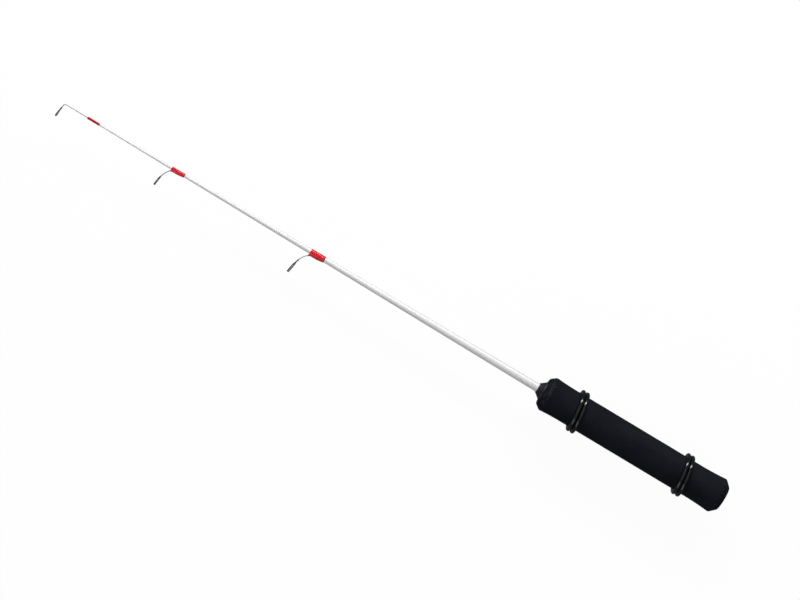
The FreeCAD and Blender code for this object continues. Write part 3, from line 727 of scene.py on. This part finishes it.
def make_check():
    """The cone in front of the grip: a lip, a waisted flank and a rounded nose."""
    start, end = CHECK["start"], CHECK["start"] + CHECK["length"]
    base = CHECK["base"]
    bore = BLANK["butt"] + 0.015
    back = start + 0.02
    corners = [
        (back, bore, 0),
        (back, base, 0.12),
        (start + CHECK["lip"], base, 0.22),
        (start + CHECK["step_place"], base - CHECK["step"], 0.12),
        (start + CHECK["waist_place"], CHECK["waist"], 1.0),
        (end - 0.4, CHECK["front"] + 0.02, 0.2),
        (end, CHECK["front"] - 0.05, 0.22),
        (end - 0.05, bore + 0.25, 0.1),
        (end - 0.3, bore, 0),
    ]
    check = lathed("nose_cone", corners, CONE_FINENESS)
    # Painted highlight: pale spots on the cone's lip and nose.
    rims = [(start + 0.5, base, 0.9), (end - 0.2, CHECK["front"], 0.7)]
    material = moulded_material("cone_plastic", rims)
    finish_piece(check, material, "rod", "winding_check")


def make_plug():
    """The plug in the butt face, with its gate mark and a moulded step."""
    radius = GRIP["plug_radius"] - 0.04
    stem = GRIP["bore"] - 0.02
    corners = [
        (0.32, 0.0, 0),
        (0.3, 0.5, 0.1),
        (0.45, 0.75, 0.1),
        (0.42, 1.9, 0.25),
        (0.12, 2.5, 0.3),
        (0.03, radius - 1.2, 0.3),
        (0.03, radius, 0.3),
        (GRIP["plug_thick"], radius, 0.05),
        (GRIP["plug_thick"], stem, 0.05),
        (PLUG_LENGTH - 0.6, stem, 0.1),
        (PLUG_LENGTH, GRIP["bore"] - 0.4, 0.1),
        (PLUG_LENGTH, 0.0, 0),
    ]
    plug = lathed("butt_cap", corners, PLUG_FINENESS, closed=False)
    material = moulded_material("plug_plastic", [(0.0, radius, 0.8), (0.1, 2.5, 0.6)])
    finish_piece(plug, material, "rod", "butt_plug")


def make_band(node, number, material):
    """A rubber ring with its mould line, a little askew and wavy as it lies on the foam."""
    low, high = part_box(node)
    centre = (low.x + high.x) / 2 / MM
    section = (high.x - low.x) / 2 / MM
    ring = high.y / MM - section - BAND_SINK
    slant = math.tan(math.radians(BAND_SLANT))
    mould_lines = (0, BAND_SIDES // 2)
    outline = []
    for side in range(BAND_SIDES):
        angle = FULL_TURN * side / BAND_SIDES
        reach = section if side in mould_lines else section - BAND_SKIN
        outline.append((centre + reach * math.sin(angle), ring + reach * math.cos(angle)))

    def sway(point):
        around = math.atan2(point.z, point.y)
        waves = [
            height * math.sin(count * around + turn * number)
            for height, count, turn in BAND_WAVES
        ]
        return point + Vector((sum(waves) - slant * point.y, 0, 0))

    band = turned(f"{node}_rubber", outline, BAND_TURNS, push=sway)
    finish_piece(band, material, node, node)


def arc(centre, radius, start, end, step=0.25):
    """Points about a step apart on an arc in the XY plane, angles in radians."""
    parts = max(4, math.ceil(abs(end - start) * radius / step))
    points = []
    for part in range(parts + 1):
        angle = start + (end - start) * part / parts
        points.append(centre + Vector((math.cos(angle), math.sin(angle), 0)) * radius)
    return points


def ring_of(guide):
    """A guide's ring: centre, leaning axis, radius to its wire's middle, and top."""
    mount = mounts[guide["mount"]]
    axis = Vector(mount["axis"])
    axis = axis if axis.x > 0 else -axis
    centre = Vector(mount["pos_m"]) / MM
    middle = guide["outer"] - guide["wire"] / 2
    top = centre + Vector((axis.y, -axis.x, 0)) * middle
    return centre, axis, middle, top


def leg_direction(guide):
    """From the foot's side to the ring, along the leg."""
    lean = math.radians(guide["leg_lean"])
    return Vector((math.sin(lean), math.cos(lean), 0))


def guide_path(guide):
    """The guide's wire, as its maker bends it: foot, short bend, long bend, leg."""
    top = ring_of(guide)[3]
    along = leg_direction(guide)
    near, far = guide["near"], guide["far"]
    foot_y = blank_radius(guide["foot"]) + FOOT_LIFT + guide["wire"] / 2
    end_angle = math.radians(90 - guide["leg_lean"])
    corner = top - along * guide["straight"]
    climb = corner.y - foot_y
    split = math.acos((climb - near + far * math.cos(end_angle)) / (far - near))
    far_centre = corner + Vector((-math.sin(end_angle), math.cos(end_angle), 0)) * far
    near_centre = far_centre + Vector((math.sin(split), -math.cos(split), 0)) * (far - near)
    foot = Vector((guide["foot"], foot_y, 0))
    start = Vector((near_centre.x, foot_y, 0))
    points = spaced([foot, start], 0.4)[:-1]
    points += arc(near_centre, near, -QUARTER_TURN, split - QUARTER_TURN)[:-1]
    points += arc(far_centre, far, split - QUARTER_TURN, end_angle - QUARTER_TURN)[:-1]
    points += spaced([corner, top], 0.4)
    return points


def foot_radius(guide, x):
    """The wire's half thickness: ground thin towards the foot's end, over its ramp."""
    thinnest = 0.3
    share = min(max((x - guide["foot"]) / guide["ramp"], 0.0), 1.0)
    return guide["wire"] / 2 * (thinnest + (1 - thinnest) * share)


def burn_spot(centre, middle, top):
    """The stain on a ring where its leg was soldered on."""
    return top.lerp(centre, BURN_DEPTH), middle * BURN_SHARE, BURNT_SOLDER


def make_guide_wire(number, guide):
    """A guide's foot, leg, eye and solder in one skin."""
    path = guide_path(guide)
    radii = [foot_radius(guide, p.x) for p in path]
    surface = blank_radius(guide["foot"]) + FOOT_LIFT
    ramp_end = guide["foot"] + guide["ramp"]
    for place, radius in zip(path, radii):
        if place.x < ramp_end:
            place.y = surface + radius
    centre, axis, middle, top = ring_of(guide)
    along = leg_direction(guide)
    shapes = [bar(path, radii), loop(centre, axis, middle, guide["wire"])]
    spots = []
    for back, colour in zip(guide["beads"], (BURNT_SOLDER, GREY_SOLDER)):
        place = top - along * back
        shapes.append(blob(place, along, SOLDER_RADIUS * 1.05, SOLDER_RADIUS * 0.92))
        spots.append((place, SOLDER_RADIUS * STAIN_REACH, colour))
    spots.append(burn_spot(centre, middle, top))
    wire = fused(f"guide_{number}_wire", shapes, WIRE_GRAIN)
    material = wire_material(f"guide_{number}_steel", spots, *guide["greys"])
    finish_piece(wire, material, "rod", f"guide_{number}_frame")


def make_insert(name, guide, node, material):
    """The hard ring in a guide's eye: rounded bore, flanges and a groove."""
    centre, axis, middle, _ = ring_of(guide)
    half = guide["width"] / 2
    bore = mounts[guide["mount"]]["dims"]["r_mm"]
    lip = guide["width"] * 0.28
    wire = guide["wire"]
    rise = wire * 0.3  # of the flanges past the middle of the wire
    flange = middle + rise
    groove = wire / 2 + 0.02
    mouth = math.sqrt(groove**2 - rise**2)
    rounding = 0.09
    corners = [
        (-half, bore, lip),
        (-half, flange, rounding),
        (-mouth, flange, rounding * 0.6),
    ]
    sweep = math.asin(rise / groove)
    groove_steps = 14
    for step in range(1, groove_steps):
        angle = math.pi - sweep + (math.pi + 2 * sweep) * step / groove_steps
        corners.append((groove * math.cos(angle), middle + groove * math.sin(angle), 0))
    corners += [
        (mouth, flange, rounding * 0.6),
        (half, flange, rounding),
        (half, bore, lip),
    ]
    insert = along_axis(lathed(name, corners, INSERT_FINENESS), centre * MM, axis)
    finish_piece(insert, material, "rod", node)


FLATTEST_SIDE = 0.995  # a cosine: neither circle ever swallows the other
LEAST_DISTANCE = 1e-6


def hull_point(share, big, small, apart):
    """A point of the tight skin round two circles, share 0..1 of the way round.

    Both circles stand across the rod: the big one round its axis, the small one
    apart from it towards the guides.
    """
    ratio = min((big - small) / max(apart, LEAST_DISTANCE), FLATTEST_SIDE)
    touch = math.acos(ratio)
    side = apart * math.sin(touch)
    lengths = (small * touch, side, big * 2 * (math.pi - touch), side, small * touch)
    walked = share * sum(lengths)
    for part, length in enumerate(lengths):
        if walked <= length or part == len(lengths) - 1:
            break
        walked -= length
    t = walked / length if length > 0 else 0.0
    unit = Vector((math.cos(touch), math.sin(touch)))
    mirror = Vector((unit.x, -unit.y))
    foot = Vector((apart, 0))
    if part == 0:
        return foot + Vector((math.cos(touch * t), math.sin(touch * t))) * small
    if part == 1:
        return (foot + unit * small).lerp(unit * big, t)
    if part == 2:
        angle = touch + (FULL_TURN - 2 * touch) * t
        return Vector((math.cos(angle), math.sin(angle))) * big
    if part == 3:
        return (mirror * big).lerp(foot + mirror * small, t)
    angle = -touch * (1 - t)
    return foot + Vector((math.cos(angle), math.sin(angle))) * small


OUTER_ROWS, BORE_ROWS, SLEEVE_SIDES = 44, 16, 72
FOLD_DEPTH, RIPPLE_DEPTH = 0.03, 0.012
CUT_FLARE, CUT_REACH = 0.05, 0.4  # a sleeve's cut ends stand up a little


def sleeve_rows(start, end):
    """Pairs of a place and the wall there: out along the skin, back along the bore."""
    first = start + SLEEVE_LIP
    length = end - start
    rows = [(start, 0.0), (start, SLEEVE_WALL * 0.55)]
    rows.append((start + SLEEVE_LIP * 0.3, SLEEVE_WALL * 0.85))
    for row in range(OUTER_ROWS + 1):
        rows.append((first + (length - 2 * SLEEVE_LIP) * row / OUTER_ROWS, SLEEVE_WALL))
    rows.append((end - SLEEVE_LIP * 0.3, SLEEVE_WALL * 0.85))
    rows += [(end, SLEEVE_WALL * 0.55), (end, 0.0)]
    return rows + [(end - length * row / BORE_ROWS, 0.0) for row in range(1, BORE_ROWS)]


def make_sleeve(number, guide, material):
    """The shrink tube: a tight skin over blank and foot, with a wall and cut ends."""
    start, end = guide["sleeve"]
    path = guide_path(guide)
    xs = [p.x for p in path]
    ys = [p.y for p in path]
    surface = blank_radius(guide["foot"]) + FOOT_LIFT

    def inside(x):
        """Radius round the blank, radius round the wire, and their distance."""
        big = blank_radius(x) + SLEEVE_SNUG
        small = foot_radius(guide, x) + SLEEVE_SNUG
        if x < guide["foot"]:
            gone = min((guide["foot"] - x) / SLEEVE_LEAD, 1.0)
            ease = gone * gone * (3 - 2 * gone)
            return big, small, (surface + small) * (1 - ease) + (big - small + 0.01) * ease
        if x < guide["foot"] + guide["ramp"]:
            return big, small, surface + small
        near = 0.3
        rise = np.interp(x + near, xs, ys) - np.interp(x - near, xs, ys)
        tilt = math.hypot(1.0, rise / (2 * near))
        across = (guide["wire"] / 2) * tilt + SLEEVE_SNUG
        return big, across, float(np.interp(x, xs, ys))

    rows = sleeve_rows(start, end)
    verts = []
    for x, wall in rows:
        big, small, apart = inside(x)
        for side in range(SLEEVE_SIDES):
            p = hull_point(side / SLEEVE_SIDES, big + wall, small + wall, apart)
            point = Vector((x, p.x, p.y))
            if wall > 0:
                cloud = Vector((x * 0.35, p.x * 1.6, p.y * 1.6)) + Vector((number, 0, 0))
                fold = FOLD_DEPTH * noise.noise(cloud)
                cloud = Vector((x * 1.1, p.x * 0.9, p.y * 0.9 + 5 * number))
                ripple = RIPPLE_DEPTH * noise.noise(cloud)
                out = Vector((0, p.x - apart * 0.3, p.y)).normalized()
                point += out * (fold + ripple) * (wall / SLEEVE_WALL)
                edge = min(x - start, end - x)
                point += out * CUT_FLARE * math.exp(-edge / CUT_REACH)
            verts.append(point * MM)
    faces = grid_faces(len(rows), SLEEVE_SIDES, True)
    sleeve = new_object(f"guide_{number}_shrink", verts, faces)
    finish_piece(sleeve, material, "rod", f"guide_{number}_sleeve")


COLLAR_CRIMPS = ((0.26, 0), (0.34, 1), (0.42, 0), (0.58, 0), (0.66, 1), (0.74, 0))
CRIMP_DEPTH = 0.09


def make_tip_wire():
    """The tip-top's wire: out of the tube, one bend, its leg, its eye and the solder."""
    centre, axis, middle, top = ring_of(TIP)
    along = leg_direction(TIP)
    turn = math.radians(90 - TIP["leg_lean"])
    bend, wire = TIP["bend"], TIP["wire"]
    length = (top.y - bend * (1 - math.cos(turn))) / math.sin(turn)
    corner = top - along * length
    bend_centre = Vector((corner.x - bend * math.sin(turn), bend, 0))
    straight = [Vector((TIP["start"], 0, 0)), Vector((bend_centre.x, 0, 0))]
    path = spaced(straight, 0.5)[:-1]
    path += arc(bend_centre, bend, -QUARTER_TURN, turn - QUARTER_TURN, 0.15)[:-1]
    path += spaced([corner, top], 0.4)
    radii = [wire / 2] * len(path)
    bead = top - along * (TIP_SOLDER_RADIUS + wire * 0.3)
    solder = blob(bead, along, TIP_SOLDER_RADIUS * 1.1, TIP_SOLDER_RADIUS * 0.95)
    shapes = [bar(path, radii), loop(centre, axis, middle, wire), solder]
    wire_piece = fused("tip_wire", shapes, TIP_GRAIN)
    stained = TIP_SOLDER_RADIUS * STAIN_REACH
    spots = [(bead, stained, BURNT_SOLDER), burn_spot(centre, middle, top)]
    steel = wire_material("tip_steel", spots, *TIP["greys"])
    finish_piece(wire_piece, steel, "rod", "tip_frame")


def make_collar():
    """The crimped collar on the tip-top's leg."""
    top = ring_of(TIP)[3]
    along = leg_direction(TIP)
    near, far = TIP["collar"]
    length = far - near
    radius = TIP["collar_radius"]
    bore = TIP["wire"] / 2 + 0.01
    corners = [
        (0.0, bore, 0),
        (0.0, radius - 0.02, 0.12),
        *[(length * place, radius - CRIMP_DEPTH * deep, 0.1) for place, deep in COLLAR_CRIMPS],
        (length, radius - 0.02, 0.12),
        (length, bore, 0),
    ]
    collar = lathed("tip_ferrule", corners, COLLAR_FINENESS)
    along_axis(collar, (top - along * far) * MM, along)
    oxide = dark_metal_material("collar_oxide", rgb(0.05, 0.05, 0.052), rgb(0.2, 0.2, 0.2))
    finish_piece(collar, oxide, "rod", "tip_collar")


def make_tip_sleeve(material):
    """The shrink tube over the tip-top's tube, drawn in at both ends."""
    start, end = TIP["sleeve"]
    tube_start, tube_end = TIP["tube"]
    wall, tube = TIP["sleeve_wall"], TIP["tube_radius"] + TIP_SLEEVE_SNUG
    blank = blank_radius(start) + 0.015
    wire = TIP["wire"] / 2 + 0.01
    corners = [
        (start, blank, 0),
        (start, blank + wall, 0.05),
        (tube_start, tube + wall, 0.25),
        (tube_end - 0.3, tube + wall, 0.2),
        (end, wire + wall, 0.05),
        (end, wire, 0),
        (tube_end + 0.02, wire, 0),
        (tube_end - 0.25, tube, 0),
        (tube_start, tube, 0),
        (tube_start - 0.02, blank, 0),
    ]

    def ripple(point):
        radius = math.hypot(point.y, point.z)
        if radius < tube + wall * 0.5:
            return point
        cloud = Vector((point.x * 0.7, point.y * 1.5, point.z * 1.5))
        swell = 1 + TIP_SLEEVE_SWELL * noise.noise(cloud)
        return Vector((point.x, point.y * swell, point.z * swell))

    sleeve = lathed("tip_shrink", corners, TIP_SLEEVE_FINENESS, push=ripple)
    finish_piece(sleeve, material, "rod", "tip_sleeve")


def dress_hidden_nodes():
    """The glue film and the tip tube keep their CAD meshes under other pieces."""
    tube = dark_metal_material("tube_steel", rgb(0.32, 0.32, 0.33), rgb(0.6, 0.6, 0.61))
    for node, material in (("grip_bond", glue_material()), ("tip_tube", tube)):
        obj = frame["nodes"][node]
        obj.data.materials.clear()
        obj.data.materials.append(material)


# ------------------------------------------------------ floor, lights, camera

FLOOR_SIZE = 12.0
LIGHT_TILT = math.radians(62.0)  # of the key and the rim light, from straight above
LIGHTS = {  # direction from the rod, distance, size across, power in watts
    "key": ((0.2, -math.sin(LIGHT_TILT), math.cos(LIGHT_TILT)), 1.3, (0.26, 1.5), 17.0),
    "top": ((0.1, -0.1, 1.0), 1.6, (2.6, 2.6), 7.5),
    "rim": ((0.0, math.sin(LIGHT_TILT), math.cos(LIGHT_TILT)), 1.5, (0.9, 1.5), 5.4),
}
SKY_COLOUR, SKY_STRENGTH = rgb(0.93, 0.95, 1.0), 0.13
VIEW_CENTRE = Vector((0.3035, -0.00345, 0.0))
VIEW_TILT = 4.0  # degrees from straight above, towards the tip
VIEW_TURN = 149.03  # the rod's direction in the picture, anticlockwise from the right
VIEW_WIDTH = 0.6352  # of the scene at the rod, across the picture
VIEW_LENS, VIEW_SENSOR, VIEW_END = 200.0, 36.0, 20.0


def make_floor(height):
    """The pale ground, which gives the rod no light."""
    edge = FLOOR_SIZE / 2
    corners = [(-edge, -edge), (edge, -edge), (edge, edge), (-edge, edge)]
    floor = new_object("floor", [(x, y, height) for x, y in corners], [(0, 1, 2, 3)])
    f = Finish("pale_floor", Emission_Strength=0.96)
    f.shader.inputs["Emission Color"].default_value = rgb(1.0, 1.0, 1.0)
    f.shader.inputs["Specular IOR Level"].default_value = 0.0
    cloud = f.grain(400.0, 2.0)
    f.set("Base Color", f.mix(cloud, rgb(0.04, 0.04, 0.04), rgb(0.05, 0.05, 0.05)))
    f.set("Roughness", f.span(cloud, 0.2, 0.8, 0.7, 0.8))
    floor.data.materials.append(f.material)
    floor.visible_diffuse = False
    floor.visible_glossy = False


def make_light(name, direction, distance, size, power, target):
    """A soft rectangular light that faces the target."""
    lamp = bpy.data.lights.new(name, "AREA")
    lamp.shape = "RECTANGLE"
    lamp.size, lamp.size_y = size
    lamp.energy = power
    obj = bpy.data.objects.new(name, lamp)
    bpy.context.scene.collection.objects.link(obj)
    direction = Vector(direction).normalized()
    obj.location = target + direction * distance
    obj.rotation_euler = direction.to_track_quat("Z", "X").to_euler()


def make_lights(target):
    """Three soft lights, and a weak sky."""
    for name, light in LIGHTS.items():
        make_light(name, *light, target)
    world = bpy.data.worlds.new("studio")
    world.use_nodes = True
    sky = world.node_tree.nodes["Background"]
    sky.inputs["Color"].default_value = SKY_COLOUR
    sky.inputs["Strength"].default_value = SKY_STRENGTH
    bpy.context.scene.world = world


def make_camera(target):
    """From almost straight above, with the rod aslant in the picture."""
    tilt, turn = math.radians(VIEW_TILT), math.radians(VIEW_TURN)
    back = Vector((math.sin(tilt), 0, math.cos(tilt)))
    tipward = Vector((math.cos(tilt), 0, -math.sin(tilt)))
    sideways = back.cross(tipward)
    right = tipward * math.cos(turn) - sideways * math.sin(turn)
    up = tipward * math.sin(turn) + sideways * math.cos(turn)
    data = bpy.data.cameras.new("camera")
    data.lens, data.sensor_width = VIEW_LENS, VIEW_SENSOR
    camera = bpy.data.objects.new("camera", data)
    bpy.context.scene.collection.objects.link(camera)
    distance = VIEW_WIDTH * VIEW_LENS / VIEW_SENSOR
    pose = Matrix((right, up, back)).transposed().to_4x4()
    camera.matrix_world = Matrix.Translation(target + back * distance) @ pose
    data.clip_end = VIEW_END
    bpy.context.scene.camera = camera


# ------------------------------------------------------------------- the scene

make_grip()
make_blank()
make_check()
make_plug()
rubber = rubber_material()
bands = ["front_band_outer", "front_band_inner", "rear_band_inner", "rear_band_outer"]
for count, band_node in enumerate(bands):
    make_band(band_node, count, rubber)
ceramic = ceramic_material()
guide_spans = [size["sleeve"] for size in GUIDES.values()]
shrink = shrink_material("guide_shrink_tube", guide_spans, RED, DEEP_RED, SHRINK_GLOSS)
for count, size in GUIDES.items():
    make_guide_wire(count, size)
    make_insert(f"guide_{count}_insert", size, f"guide_{count}_ring", ceramic)
    make_sleeve(count, size, shrink)
make_tip_wire()
make_collar()
make_insert("tip_insert", TIP, "tip_ring", ceramic)
tip_tones = (TIP_RED, TIP_DEEP_RED, TIP_SHRINK_GLOSS)
make_tip_sleeve(shrink_material("tip_shrink_tube", [TIP["sleeve"]], *tip_tones))
dress_hidden_nodes()

make_floor(cad_box[0].z)
make_lights(VIEW_CENTRE)
make_camera(VIEW_CENTRE)
bpy.context.scene.view_settings.view_transform = "Standard"
